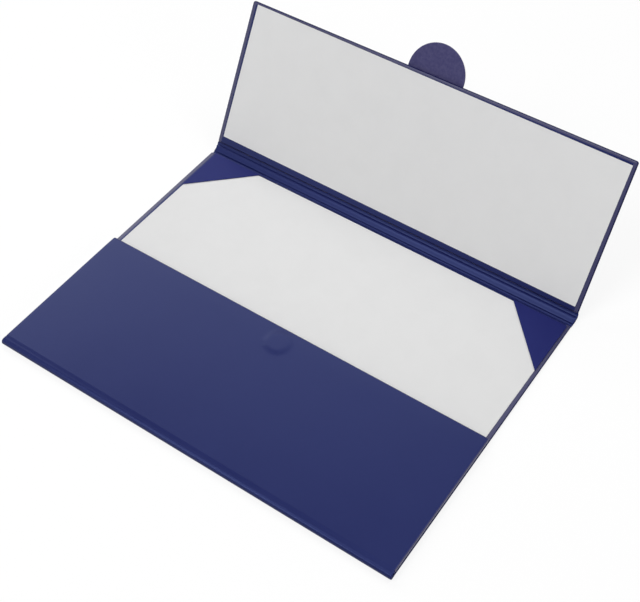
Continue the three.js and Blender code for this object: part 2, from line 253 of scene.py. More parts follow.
@dataclass(frozen=True)
class LiningPaper:
    """Uncoated white lining paper, whose felted fibres leave a faint cloudy tooth."""

    name: str
    colour: str
    shade: str
    tooth: float = 1.3
    tooth_height: float = 0.02

    def make(self) -> bpy.types.Material:
        """Makes the material.

        Returns:
            The finished material.
        """
        material, tree = new_material(self.name)
        place = add_node(tree, "ShaderNodeTexCoord").outputs["Object"]
        cloud = add_node(
            tree, "ShaderNodeTexNoise", {"Vector": place, "Scale": per_mm(18), "Detail": 5.0, "Roughness": 0.6}
        )
        spread = add_node(
            tree, "ShaderNodeMapRange", {"Value": cloud.outputs["Fac"], "From Min": 0.4, "From Max": 0.75}
        )
        colour = add_node(
            tree,
            "ShaderNodeMix",
            {"Factor": spread.outputs["Result"], 6: linear(self.colour), 7: linear(self.shade)},
            data_type="RGBA",
        )
        fibre = add_node(
            tree, "ShaderNodeTexNoise", {"Vector": place, "Scale": per_mm(self.tooth), "Detail": 3.0}
        )
        bump = add_node(
            tree,
            "ShaderNodeBump",
            {"Height": fibre.outputs["Fac"], "Distance": self.tooth_height * MM, "Strength": 1.0},
        )
        shader = add_node(
            tree,
            "ShaderNodeBsdfPrincipled",
            {
                "Base Color": colour.outputs[2],
                "Roughness": 0.85,
                "Specular IOR Level": 0.2,
                "Normal": bump.outputs["Normal"],
            },
        )
        add_node(tree, "ShaderNodeOutputMaterial", {"Surface": shader.outputs["BSDF"]})
        return material


@dataclass(frozen=True)
class GreyBoard:
    """Bookbinder's grey board, pressed from recycled pulp with specks in it."""

    name: str = "grey_board"
    colour: str = "#8f887c"
    speck: str = "#77705f"

    def make(self) -> bpy.types.Material:
        """Makes the material.

        Returns:
            The finished material.
        """
        material, tree = new_material(self.name)
        place = add_node(tree, "ShaderNodeTexCoord").outputs["Object"]
        pulp = add_node(
            tree, "ShaderNodeTexNoise", {"Vector": place, "Scale": per_mm(1.5), "Detail": 4.0, "Roughness": 0.7}
        )
        colour = add_node(
            tree,
            "ShaderNodeMix",
            {"Factor": pulp.outputs["Fac"], 6: linear(self.colour), 7: linear(self.speck)},
            data_type="RGBA",
        )
        bump = add_node(tree, "ShaderNodeBump", {"Height": pulp.outputs["Fac"], "Distance": 0.05 * MM})
        shader = add_node(
            tree,
            "ShaderNodeBsdfPrincipled",
            {"Base Color": colour.outputs[2], "Roughness": 0.95, "Normal": bump.outputs["Normal"]},
        )
        add_node(tree, "ShaderNodeOutputMaterial", {"Surface": shader.outputs["BSDF"]})
        return material


@dataclass(frozen=True)
class NickelPlate:
    """Nickel plating on a pressed magnet, which has fine tumbling marks."""

    name: str = "nickel_plate"
    colour: str = "#c9c6bf"

    def make(self) -> bpy.types.Material:
        """Makes the material.

        Returns:
            The finished material.
        """
        material, tree = new_material(self.name)
        place = add_node(tree, "ShaderNodeTexCoord").outputs["Object"]
        mark = add_node(tree, "ShaderNodeTexNoise", {"Vector": place, "Scale": per_mm(0.8), "Detail": 4.0})
        gloss = add_node(
            tree, "ShaderNodeMapRange", {"Value": mark.outputs["Fac"], "To Min": 0.22, "To Max": 0.38}
        )
        shader = add_node(
            tree,
            "ShaderNodeBsdfPrincipled",
            {"Base Color": linear(self.colour), "Metallic": 1.0, "Roughness": gloss.outputs["Result"]},
        )
        add_node(tree, "ShaderNodeOutputMaterial", {"Surface": shader.outputs["BSDF"]})
        return material


class Finish(Enum):
    """The finishes on the cover."""

    SHEET = PolyurethaneLeather("navy_polyurethane_leather", "#0f1446", "#121748")
    POCKET = PolyurethaneLeather("navy_polyurethane_pocket", "#1b1f58", "#1e225b", gloss=0.12, roughness=0.36)
    # The rim's paler base colour is a painted highlight of lamp light on the turned-in margins and rounded edges;
    # its white satin gloss is real.
    RIM = PolyurethaneLeather("navy_polyurethane_rim_painted_highlight", "#2b2b52", "#303057", "#ffffff", 0.36, 0.3)
    # The edge's darker base colour is painted shade along the outer edge line; its low gloss is real.
    EDGE = PolyurethaneLeather("navy_polyurethane_edge_painted_shade", "#10123c", "#13153f", gloss=0.06, roughness=0.5)
    TAB = PolyurethaneLeather(
        "navy_polyurethane_tab", "#413f66", "#4b496e", "#ffffff", 0.05, 0.5, grain_height=0.05, mottle=1.9
    )
    # The back and the flaps are lined with one paper. The flaps' copy is painted lighter than the back's, as
    # painted light on the tilted upper flap.
    BACK_LINING = LiningPaper("white_lining_paper_back", "#d3d3d3", "#d1d1d1")
    LINING = LiningPaper("white_lining_paper_painted_lighter", "#dadada", "#d8d8d8")
    BOARD = GreyBoard()
    NICKEL = NickelPlate()


_made: dict[Finish, bpy.types.Material] = {}


def dress(piece: bpy.types.Object, finish: Finish) -> None:
    """Gives a piece its finish, in place of any material that it has.

    Args:
        piece: The piece to dress.
        finish: The finish to give it.
    """
    if finish not in _made:
        _made[finish] = finish.value.make()
    piece.data.materials.clear()
    piece.data.materials.append(_made[finish])


def dress_rim_with_painted_light_and_shade(
    piece: bpy.types.Object, rim: Callable[[Vector, Vector], bool], edge: Callable[[Vector], bool]
) -> None:
    """Gives a piece's turned-in margin and rounded edge a paler finish, which is painted highlight, and its outer
    edge a darker, duller one, which is painted shade.

    Args:
        piece: The piece, which has its main finish already.
        rim: Takes a face's centre in millimetres and its normal, and tells whether it is on the margin.
        edge: Takes a face's normal, and tells whether it is on the outer edge.
    """
    for finish in (Finish.RIM, Finish.EDGE):
        if finish not in _made:
            _made[finish] = finish.value.make()
        piece.data.materials.append(_made[finish])
    for face in piece.data.polygons:
        if edge(face.normal):
            face.material_index = 2
        elif rim(face.center / MM, face.normal):
            face.material_index = 1


# Modelling moves


class Bench:
    """The piece being modelled, and the moves made on it with Blender's own operators.

    Sizes are in millimetres here, and in the piece's own flat layout: x along the fold line, y away
    from it and z towards the inner side. place() puts the finished piece where it belongs.
    """

    def __init__(self, name: str) -> None:
        """Names the next piece and clears the selection.

        Args:
            name: The piece's name.
        """
        self.name = name
        if bpy.context.object and bpy.context.object.mode != "OBJECT":
            bpy.ops.object.mode_set(mode="OBJECT")
        bpy.ops.object.select_all(action="DESELECT")

    @property
    def piece(self) -> bpy.types.Object:
        """The object in hand."""
        return bpy.data.objects[self.name]

    def _adopt(self) -> None:
        """Names the primitive that was just added."""
        bpy.context.object.name = self.name
        bpy.context.object.data.name = self.name

    def plane(self) -> None:
        """Adds a plane from -1 to 1 mm and opens it for editing."""
        bpy.ops.mesh.primitive_plane_add(size=2 * MM, enter_editmode=True)
        self._adopt()

    def cylinder(self, radius: float, depth: float, sides: int) -> None:
        """Adds an upright cylinder around the origin and opens it for editing."""
        bpy.ops.mesh.primitive_cylinder_add(
            vertices=sides, radius=radius * MM, depth=depth * MM, enter_editmode=True
        )
        self._adopt()

    def mesh(self) -> bmesh.types.BMesh:
        """The open mesh, with its tables ready."""
        shape = bmesh.from_edit_mesh(self.piece.data)
        shape.verts.ensure_lookup_table()
        return shape

    def pick(self, test: Callable[[Vector], bool]) -> int:
        """Selects the vertices whose place passes the test, and what lies between them.

        Args:
            test: Takes a vertex's place in millimetres.

        Returns:
            How many vertices were picked.
        """
        shape = self.mesh()
        bpy.context.tool_settings.mesh_select_mode = (True, False, False)
        shape.select_mode = {"VERT"}
        count = 0
        for vertex in shape.verts:
            vertex.select = bool(test(vertex.co / MM))
            count += vertex.select
        shape.select_flush_mode()
        bmesh.update_edit_mesh(self.piece.data)
        return count

    def pick_numbers(self, numbers: Iterable[int]) -> None:
        """Selects the vertices with these numbers."""
        wanted = set(numbers)
        shape = self.mesh()
        shape.select_mode = {"VERT"}
        for vertex in shape.verts:
            vertex.select = vertex.index in wanted
        shape.select_flush_mode()
        bmesh.update_edit_mesh(self.piece.data)

    def numbers(self, test: Callable[[Vector], bool]) -> list[int]:
        """The numbers of the vertices whose place in millimetres passes the test."""
        return [v.index for v in self.mesh().verts if test(v.co / MM)]

    def everything(self) -> None:
        """Selects the whole mesh."""
        bpy.ops.mesh.select_all(action="SELECT")

    def move(self, x: float = 0.0, y: float = 0.0, z: float = 0.0) -> None:
        """Moves what is selected."""
        bpy.ops.transform.translate(value=(x * MM, y * MM, z * MM))

    def size(self, x: float = 1.0, y: float = 1.0, z: float = 1.0, at: tuple = (0, 0, 0)) -> None:
        """Scales what is selected about a point."""
        bpy.ops.transform.resize(value=(x, y, z), center_override=Vector(at) * MM)

    def turn(self, degrees: float, axis: str = "X", at: tuple = (0, 0, 0)) -> None:
        """Turns what is selected about a point, by the right-hand rule.

        With no window open the operator turns the other way, so the angle is given negated.
        """
        bpy.ops.transform.rotate(
            value=-math.radians(degrees), orient_axis=axis, center_override=Vector(at) * MM
        )

    def pull(self, x: float = 0.0, y: float = 0.0, z: float = 0.0) -> None:
        """Extrudes what is selected and moves it."""
        bpy.ops.mesh.extrude_region_move(TRANSFORM_OT_translate={"value": (x * MM, y * MM, z * MM)})

    def close(self) -> None:
        """Merges doubles, turns all faces outwards and leaves edit mode."""
        self.everything()
        bpy.ops.mesh.remove_doubles(threshold=0.002 * MM)
        bpy.ops.mesh.normals_make_consistent(inside=False)
        bpy.ops.object.mode_set(mode="OBJECT")

    def modify(self, kind: str, **settings) -> None:
        """Adds a modifier with its settings and applies it."""
        modifier = self.piece.modifiers.new(kind.lower(), kind)
        for name, value in settings.items():
            setattr(modifier, name, value)
        bpy.ops.object.modifier_apply(modifier=modifier.name)

    def smooth(self, degrees: float = 40.0) -> None:
        """Shades smoothly over all but sharp edges, with flat faces kept flat."""
        bpy.ops.object.shade_smooth_by_angle(angle=math.radians(degrees))
        self.modify("WEIGHTED_NORMAL", keep_sharp=True, weight=80)

    def place(self, where: Matrix) -> bpy.types.Object:
        """Puts the piece in its place on the cover, with that place held in its mesh.

        Args:
            where: From the flat layout to the row frame, with its move in metres.

        Returns:
            The finished piece, at the origin.
        """
        piece = self.piece
        piece.matrix_world = where
        bpy.ops.object.transform_apply(location=True, rotation=True, scale=True)
        return piece


# The cover's layout


def fold_line(joint: str) -> tuple[float, float]:
    """Gives y and z of a joint's axis, in millimetres."""
    found = next(j for j in frame["joints"] if j["name"] == joint)
    return (found["pos_m"][1] / MM, found["pos_m"][2] / MM)


class Fold(Enum):
    """The four fold lines: y and z in millimetres."""

    BACK_LOW = fold_line("back_spine_hinge")
    BACK_HIGH = fold_line("upper_flap_hinge")
    FRONT_LOW = fold_line("front_spine_hinge")
    FRONT_HIGH = fold_line("lower_flap_hinge")


def span(one: Fold, other: Fold) -> tuple[float, float]:
    """Gives the distance between two fold lines, and the angle of the strip between them in degrees."""
    (y, z), (far_y, far_z) = one.value, other.value
    return math.hypot(far_y - y, far_z - z), math.degrees(math.atan2(far_z - z, abs(far_y - y)))


@dataclass(frozen=True)
class Sizes:
    """The cover's sizes in millimetres: those of the frame, and those of the sheet goods on it."""

    half_width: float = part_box("back_panel_skin")[1][0] / MM
    fold_height: float = Fold.BACK_LOW.value[1]
    back_end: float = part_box("back_panel_board")[1][1] / MM
    front_end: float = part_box("back_panel_board")[0][1] / MM
    rim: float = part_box("back_panel_skin")[1][2] / MM
    lining_top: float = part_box("back_panel_lining")[1][2] / MM
    sheet: float = 0.35
    upper_reach: float = 115.0
    lower_reach: float = 114.7
    edge_round: float = 0.9
    rim_line: float = 152.7
    rim_width: float = 1.9
    corner_round: float = 1.6
    lining_half: float = 152.0
    lining_shift: float = 0.65
    lining_skew: float = -0.35
    lining_fold_margin: float = 4.65
    lining_free_margin: float = 2.5
    lining_back_margin: float = 1.6

    @property
    def back_gutter(self) -> float:
        """Distance from the back fold line to the back panel's board."""
        return Fold.BACK_LOW.value[0] - self.back_end

    @property
    def front_gutter(self) -> float:
        """Distance from the front fold line to the back panel's board."""
        return self.front_end - Fold.FRONT_LOW.value[0]

    @property
    def outer(self) -> float:
        """Height of a panel's outer face from the fold line."""
        return -self.fold_height

    @property
    def inner(self) -> float:
        """Height of a panel's inner face from the fold line."""
        return self.rim - self.fold_height


SIZES = Sizes()


class Profile(Enum):
    """Cross-sections of the sheet over the gutters, as (y, height) points from panel to strip."""

    BACK_OUTER = ((-2.3, SIZES.outer), (-1.1, -0.45), (0, -0.55), (0.9, -0.9))
    BACK_LOW_INNER = ((-2.7, SIZES.inner), (-0.9, 0.4), (0.2, 0.4), (1.9, 1.15), (3.93, 1.1))
    BACK_HIGH_INNER = ((-2.9, SIZES.inner), (-1.4, 0.36), (0.5, 0.36), (2.6, 1.15), (3.93, 1.1))
    FRONT_LOW_OUTER = ((-4, SIZES.outer), (-1.6, -0.6), (2.25, -0.9))
    FRONT_HIGH_OUTER = ((-6, SIZES.outer), (-2, -0.5), (-1.2, -0.5), (0.2, -0.88), (2.25, -0.9))
    FRONT_HIGH_OUTER_RIGHT = ((-6, SIZES.outer), (-2, -0.5), (-0.5, -0.5), (1.0, -0.8), (2.25, -0.9))
    FRONT_INNER = ((-4, SIZES.inner), (-3, 0.4), (0.5, 0.4), (1.4, 1.1))


def layout(origin: tuple[float, float], angle: float, away: int) -> Matrix:
    """Gives the place of a flat layout on the cover.

    Args:
        origin: The fold line's y and z, in millimetres.
        angle: How far the layout's y axis is turned up from level, in degrees.
        away: 1 if that axis points to the back before it is turned up, and -1 if to the front.

    Returns:
        The matrix from the layout to the row frame.
    """
    lift = math.radians(angle)
    along = Vector((0, away * math.cos(lift), math.sin(lift)))
    normal = Vector((0, -away * math.sin(lift), math.cos(lift)))
    across = along.cross(normal)
    made = Matrix((across, along, normal)).transposed().to_4x4()
    made.translation = Vector((0, origin[0], origin[1])) * MM
    return made


@dataclass(frozen=True)
class Station:
    """One cross-section of a wrapped strip, in its flat layout.

    Attributes:
        along: Distance along y.
        low: Height of the outer face.
        high: Height of the inner face.
        half: Half of the width across x.
        tilt: How much higher the outer face stands at one end than at the other.
        shift: How far the section lies to the side.
    """

    along: float
    low: float
    high: float
    half: float
    tilt: float = 0.0
    shift: float = 0.0


@dataclass
class Loft:
    """A wrapped strip with rounded side edges, pulled through a row of stations.

    Attributes:
        name: The piece's name.
        stations: The cross-sections in order.
        columns: How many cuts there are across the width.
        fine: Half width of a middle part that is cut finer, or 0.
        fine_cuts: How many cuts go into each of its columns.
        fold: The angle that the strip is bent by, in degrees.
        room: The distance to either side of the fold line over which it bends.
    """

    name: str
    stations: list[Station]
    columns: int = 30
    fine: float = 0.0
    fine_cuts: int = 0
    fold: float = 0.0
    room: float = 0.0

    def bent(self, y: float) -> tuple[float, float, float]:
        """Gives where the bent strip has what lay at y while it was flat.

        Args:
            y: Distance from the fold line on the flat strip.

        Returns:
            Its y and z, and the angle that it is turned by in degrees.
        """
        angle = self.fold * min(1.0, max(0.0, (y + self.room) / (2 * self.room)))
        radius = self.room / math.tan(math.radians(self.fold / 2))
        lift = math.radians(angle)
        rest = max(0.0, y - self.room)
        return (
            min(y, -self.room) + radius * math.sin(lift) + rest * math.cos(lift),
            radius * (1 - math.cos(lift)) + rest * math.sin(lift),
            angle,
        )

    def build(self) -> Bench:
        """Pulls the strip out flat and then bends it along an arc.

        Returns:
            The bench with the strip on it, still open for editing.
        """
        bench = Bench(self.name)
        first = self.stations[0]
        thick = (first.high - first.low) / 2
        bench.plane()
        bench.everything()
        bench.turn(90)
        bench.size(first.half, 1, thick)
        bpy.ops.mesh.bevel(
            offset=min(SIZES.edge_round, thick * 0.98) * MM, segments=4, affect="VERTICES", clamp_overlap=False
        )
        bench.pick(lambda p: abs(abs(p.z) - thick) < 1e-4)
        bpy.ops.mesh.subdivide(number_cuts=self.columns)
        column = (first.half - SIZES.edge_round) * (1 - 2 / (self.columns + 1))
        bench.pick(lambda p: abs(abs(p.x) - column) < 0.05)
        bench.size(SIZES.rim_line / column, 1, 1)
        if self.fine:
            bench.pick(lambda p: abs(abs(p.z) - thick) < 1e-4 and abs(p.x) < self.fine)
            bpy.ops.mesh.subdivide(number_cuts=self.fine_cuts)
        bench.everything()
        bench.move(first.shift, first.along, (first.low + first.high) / 2)
        rings = [[v.index for v in bench.mesh().verts]]
        was = first
        for now in self.stations[1:]:
            middle = (now.low + now.high) / 2
            bench.pull(now.shift - was.shift, now.along - was.along, middle - (was.low + was.high) / 2)
            bench.size(
                now.half / was.half,
                1,
                (now.high - now.low) / (was.high - was.low),
                at=(now.shift, now.along, middle),
            )
            rings.append([v.index for v in bench.mesh().verts if v.select])
            was = now
        for ring, station in zip(rings, self.stations):
            if station.tilt:
                middle = (station.low + station.high) / 2
                verts = bench.mesh().verts
                bench.pick_numbers([n for n in ring if verts[n].co.z / MM < middle])
                slope = math.degrees(math.atan2(station.tilt, 2 * station.half))
                bench.turn(slope, "Y", (station.shift, station.along, station.low))
            if self.fold and station.along > -self.room:
                y, z, angle = self.bent(station.along)
                bench.pick_numbers(ring)
                bench.turn(angle, "X", (0, station.along, 0))
                bench.move(y=y - station.along, z=z)
        return bench


# Sub-assemblies


@dataclass
class GutterBand:
    """The outer sheet and joint cloth over one fold line, from a panel's edge to mid-strip.

    The layout's y axis runs from the panel over the fold line onto the strip.

    Attributes:
        name: The piece's name.
        where: The place of its layout.
        panel: The body of the panel. Not used.
        strip: The body of the strip. Not used.
        nodes: The CAD nodes that it stands for.
        gutter: Distance from the fold line to the panel's board.
        reach: Distance from the fold line to the strip's middle.
        fold: How far the strip is turned from the panel, in degrees.
        outer: The outer face's profile, as (y, height) points.
        inner: The inner face's profile, as (y, height) points.
        outer_right: The outer face's profile at the right end, where it differs.
        turn_room: Distance to either side of the fold line over which it bends.
        step: Distance between stations.
        left: How far the left end stands out past the panels, as (y, reach) points.
        right: The same for the right end.
    """

    name: str
    where: Matrix
    panel: str
    strip: str
    nodes: tuple[str, ...]
    gutter: float
    reach: float
    fold: float
    outer: tuple[tuple[float, float], ...]
    inner: tuple[tuple[float, float], ...]
    outer_right: tuple[tuple[float, float], ...] = ()
    turn_room: float = 1.3
    step: float = 0.22
    left: tuple[tuple[float, float], ...] = ((-2.3, 0.0), (0.0, 0.2))
    right: tuple[tuple[float, float], ...] = ((-2.3, 0.0), (0.0, 0.2))

    def stations(self) -> list[Station]:
        """The cross-sections from the panel's edge to mid-strip."""
        count = round((self.gutter + self.reach) / self.step)
        made = []
        facing = 1 if self.where[0][0] > 0 else -1
        for i in range(count + 1):
            y = -self.gutter + (self.gutter + self.reach) * i / count
            left, right = through(self.left, y), through(self.right, y)
            low, low_right = through(self.outer, y), through(self.outer_right or self.outer, y)
            made.append(
                Station(
                    y,
                    (low + low_right) / 2,
                    through(self.inner, y),
                    SIZES.half_width + (left + right) / 2,
                    (low_right - low) * facing,
                    (right - left) / 2 * facing,
                )
            )
        return made

    def build(self) -> bpy.types.Object:
        """Builds the band.

        Returns:
            The finished piece.
        """
        loft = Loft(self.name, self.stations(), fold=self.fold, room=self.turn_room)
        bench = loft.build()
        bench.close()
        bench.smooth()
        piece = bench.place(self.where)
        dress(piece, Finish.SHEET)
        # The band's side ends get the darker finish that paints shade on them.
        dress_rim_with_painted_light_and_shade(piece, lambda centre, normal: False, lambda normal: abs(normal.x) > 0.6)
        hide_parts(*self.nodes)
        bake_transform(piece)
        return piece


@dataclass
class WrappedPanel:
    """A board's outer sheet, with rounded edges, hollow for the board inside.

    Attributes:
        name: The piece's name.
        where: The place of its layout.
        body: The body that it rides on.
        nodes: The CAD nodes that it stands for.
        start: Where the sheet starts, at the gutter.
        end: Its free edge, or the other gutter.
        free: Whether the far end is a free edge.
        magnet: Distance of the magnet under it, or 0.
        bump_crown: Radius of the flat top of the bump over the magnet.
        bump_foot: Width of the slope around that top.
        bump_height: Height of the bump.
        bow: How far the free edge has bowed in.
        bow_length: How far from the edge the bow starts.
        outer: The gutter's profile that the outer face runs into, if it does so before the board ends.
        inner: The same for the inner face.
        far_inner: The same for the inner face at the far end.
        fold: Where the fold line lies beyond its start.
        far_fold: Where the fold line lies beyond its far end.
    """

    name: str
    where: Matrix
    body: str
    nodes: tuple[str, ...]
    start: float
    end: float
    free: bool = True
    magnet: float = 0.0
    bump_crown: float = 5.9
    bump_foot: float = 6.0
    bump_height: float = 0.48
    bow: float = 0.0
    bow_length: float = 13.0
    outer: Profile | None = None
    inner: Profile | None = None
    far_inner: Profile | None = None
    fold: float = 0.0
    far_fold: float = 0.0

    def stations(self) -> list[Station]:
        """The cross-sections from the gutter to the far end."""
        low, high, half = SIZES.outer, SIZES.inner, SIZES.half_width
        stops = [self.start + 0.25 * i for i in range(6)]
        if not self.free:
            stops += [self.end - 0.25 * i for i in range(1, 6)]
        last = self.end - (SIZES.corner_round if self.free else 0.6)
        if self.magnet:
            span = self.bump_crown + self.bump_foot + 1.5
            fine = 28
            stops += [self.magnet - span + 2 * span * i / fine for i in range(fine + 1)]
            stops = [s for s in stops if s < last - 0.3]
        else:
            stops += [self.start + (last - self.start) * i / 10 for i in range(1, 10)]
        stops += [self.end - SIZES.rim_width, last]
        if not self.free:
            stops.append(self.end)
        stops = sorted({round(s, 3) for s in stops})
        made = [Station(y, *self.faces(y), half) for y in stops]
        if not self.free:
            return made
        steps = 7
        for i in range(1, steps + 1):
            angle = math.pi / 2 * i / steps
            y = last + SIZES.corner_round * math.sin(angle)
            draw = SIZES.corner_round * (1 - math.cos(angle))
            from_edge = max(0.0, SIZES.edge_round - (self.end - y))
            inset = SIZES.edge_round - math.sqrt(max(0.0, SIZES.edge_round**2 - from_edge**2))
            made.append(Station(y, low + inset + self.droop(y), high - inset + self.droop(y), half - draw))
        return made

    def faces(self, y: float) -> tuple[float, float]:
        """Gives the heights of the outer and the inner face at y."""
        low, high = SIZES.outer, SIZES.inner
        if self.outer:
            low = through(self.outer.value, self.fold - y)
        if self.inner:
            high = through(self.inner.value, self.fold - y)
        if self.far_inner:
            high = min(high, through(self.far_inner.value, y - self.far_fold))
        return low + self.droop(y), high + self.droop(y)

    def droop(self, y: float) -> float:
        """Gives how far the board has bowed in at y, close to its free edge."""
        return self.bow * max(0.0, 1 - (self.end - y) / self.bow_length) ** 2

    def build(self) -> bpy.types.Object:
        """Builds the wrapped sheet.

        Returns:
            The finished piece.
        """
        fine = 16.0 if self.magnet else 0.0
        loft = Loft(self.name, self.stations(), columns=30, fine=fine, fine_cuts=7)
        bench = loft.build()
        if self.magnet:
            self.raise_bump(bench)
        self.open_ends(bench)
        bench.close()
        bench.modify("SOLIDIFY", thickness=SIZES.sheet * MM, offset=-1.0, use_even_offset=True)
        bench.smooth()
        dress(bench.piece, Finish.SHEET)
        dress_rim_with_painted_light_and_shade(bench.piece, self.on_rim, self.on_edge)
        piece = bench.place(self.where)
        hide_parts(*self.nodes)
        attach(piece, self.body)
        return piece

    def on_rim(self, centre: Vector, normal: Vector) -> bool:
        """Tells whether a face lies on the turned-in margin or on the rounded edge, where the paler finish paints
        a highlight.
        """
        side = abs(centre.x) > SIZES.rim_line
        end = self.free and centre.y > self.end - SIZES.rim_width
        return (side or end) and normal.z > -0.9

    def on_edge(self, normal: Vector) -> bool:
        """Tells whether a face with this normal is on the outer half of a rounded edge, which gets the darker
        finish that paints shade. The panel with the magnet has none.
        """
        if self.magnet:
            return False
        return abs(normal.x) > 0.6 or self.free and normal.y > 0.5

    def open_ends(self, bench: Bench) -> None:
        """Takes off the end faces at the gutters, so that the board shows inside.

        Args:
            bench: The bench with the closed sheet on it.
        """
        ends = [self.start] if self.free else [self.start, self.end]
        bench.everything()
        bpy.ops.mesh.normals_make_consistent(inside=False)
        shape = bench.mesh()
        bpy.context.tool_settings.mesh_select_mode = (False, False, True)
        shape.select_mode = {"FACE"}
        for face in shape.faces:
            at = face.calc_center_median().y / MM
            face.select = abs(face.normal.y) > 0.9 and any(abs(at - end) < 0.01 for end in ends)
        shape.select_flush_mode()
        bmesh.update_edit_mesh(bench.piece.data)
        bpy.ops.mesh.delete(type="FACE")

    def raise_bump(self, bench: Bench) -> None:
        """Raises the outer face over the magnet, ring by ring.

        Args:
            bench: The bench with the open sheet on it.
        """
        steps = 8
        middle = (SIZES.outer + SIZES.inner) / 2
        for i in range(steps):
            reach = self.bump_crown + self.bump_foot * (1 - (i + 0.5) / steps)
            found = bench.numbers(
                lambda p, reach=reach: p.z < middle and math.hypot(p.x, p.y - self.magnet) < reach
            )
            bench.pick_numbers(found)
            bench.move(z=-self.bump_height * (ease((i + 1) / steps) - ease(i / steps)))


@dataclass
class Lining:
    """A white lining sheet, laid a little off centre and off square.

    Attributes:
        name: The piece's name.
        node: The CAD node that it stands for.
        where: The place of its panel's layout.
        body: The body that it rides on.
        low: Its near edge along y.
        high: Its far edge along y.
        finish: Its paper.
    """

    name: str
    node: str
    where: Matrix
    body: str
    low: float
    high: float
    finish: Finish

    def build(self) -> bpy.types.Object:
        """Builds the sheet.

        Returns:
            The finished piece.
        """
        bench = Bench(self.name)
        bench.plane()
        bench.everything()
        bench.size(SIZES.lining_half, (self.high - self.low) / 2, 1)
        bpy.ops.mesh.bevel(offset=0.5 * MM, segments=3, affect="VERTICES")
        bench.everything()
        bench.pull(z=SIZES.lining_top - SIZES.rim)
        bench.pick(lambda p: p.z > 0.01)
        bpy.ops.mesh.bevel(offset=0.08 * MM, segments=2, affect="EDGES")
        bench.everything()
        bench.turn(SIZES.lining_skew, "Z")
        bench.move(SIZES.lining_shift, (self.low + self.high) / 2, SIZES.inner)
        bench.close()
        bench.smooth()
        piece = bench.place(self.where)
        dress(piece, self.finish)
        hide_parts(self.node)
        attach(piece, self.body)
        return piece


@dataclass
class CornerPocket:
    """A triangle of sheet over one back corner of the lining, with its outer edges turned down.

    Attributes:
        name: The piece's name, and the CAD node that it stands for.
        side: -1 on the left and 1 on the right.
        leg_side: Length along the lining's side edge.
        leg_back: Length along the lining's back edge.
    """

    name: str
    side: int
    leg_side: float
    leg_back: float
    back_edge: float = SIZES.back_end - SIZES.lining_back_margin
    middle: float = (SIZES.back_end - SIZES.lining_back_margin + SIZES.front_end + SIZES.lining_fold_margin) / 2
    grow: float = 0.45
    low: float = 2.8
    high: float = 3.68

    def build(self) -> bpy.types.Object:
        """Builds the pocket.

        Returns:
            The finished piece.
        """
        slope = self.leg_side / self.leg_back
        corner = Vector((self.grow, self.grow))
        along_back = Vector((-(self.leg_back + self.grow / slope), self.grow))
        along_side = Vector((self.grow, -(self.leg_side + self.grow * slope)))
        bench = Bench(f"{self.name}_sheet")
        bench.plane()
        bench.pick(lambda p: p.x < 0 and p.y < 0)
        bpy.ops.mesh.delete(type="VERT")
        bench.pick(lambda p: True)
        bpy.ops.mesh.edge_face_add()
        for was, now in (((1, 1), corner), ((-1, 1), along_back), ((1, -1), along_side)):
            bench.pick(lambda p, was=was: abs(p.x - was[0]) < 0.01 and abs(p.y - was[1]) < 0.01)
            bench.move(now.x - was[0], now.y - was[1])
        bench.everything()
        bench.pull(z=self.low - self.high)
        bench.everything()
        bpy.ops.mesh.normals_make_consistent(inside=False)
        drop = (self.low - self.high) / 2
        shape = bench.mesh()
        bpy.context.tool_settings.mesh_select_mode = (False, False, True)
        shape.select_mode = {"FACE"}
        for face in shape.faces:
            centre = face.calc_center_median() / MM
            cut_side = centre.x < -1 and centre.y < -1 and abs(face.normal.z) < 0.5
            face.select = cut_side or centre.z < drop - 0.01 and abs(face.normal.z) > 0.5
        shape.select_flush_mode()
        bmesh.update_edit_mesh(bench.piece.data)
        bpy.ops.mesh.delete(type="FACE")
        bench.everything()
        bench.size(self.side, 1, 1)
        bench.move(self.side * SIZES.lining_half, self.back_edge - self.middle, self.high)
        bench.turn(SIZES.lining_skew, "Z")
        bench.move(SIZES.lining_shift, self.middle)
        bench.close()
        bench.modify("SOLIDIFY", thickness=SIZES.sheet * MM, offset=-1.0, use_even_offset=True)
        bench.modify("BEVEL", width=0.22 * MM, segments=3, limit_method="ANGLE", angle_limit=math.radians(50))
        bench.smooth()
        piece = bench.place(Matrix.Identity(4))
        dress(piece, Finish.POCKET)
        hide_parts(self.name)
        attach(piece, "back_panel")
        return piece


@dataclass
class MagnetTab:
    """The round tab on the upper flap's outer face, with its magnet showing faintly through."""

    where: Matrix
    centre: float = SIZES.upper_reach + 0.6
    magnet: float = SIZES.upper_reach + 13
    radius: float = 22.3
    shift: float = 0.3
    top: float = -1.0
    thickness: float = 1.5
    edge: float = 0.4
    print_radius: float = 4.6
    print_slope: float = 0.5
    print_height: float = 0.09

    def build(self) -> bpy.types.Object:
        """Builds the tab.

        Returns:
            The finished piece.
        """
        bench = Bench("tab_cover")
        bench.cylinder(self.radius, self.thickness, 128)
        half = self.thickness / 2
        bench.pick(lambda p: p.z > 0)
        bpy.ops.mesh.inset(thickness=(self.radius - self.print_radius) * MM)
        bench.move(y=self.magnet - self.centre)
        bpy.ops.mesh.inset(thickness=self.print_slope * MM)
        bench.move(z=self.print_height)
        bench.everything()
        bench.move(self.shift, self.centre, self.top - half)
        bench.close()
        bench.modify("BEVEL", width=self.edge * MM, segments=4, limit_method="ANGLE", angle_limit=math.radians(50))
        bench.smooth()
        piece = bench.place(self.where)
        dress(piece, Finish.TAB)
        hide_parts("tab_front_skin", "tab_rear_skin")
        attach(piece, "upper_flap")
        return piece


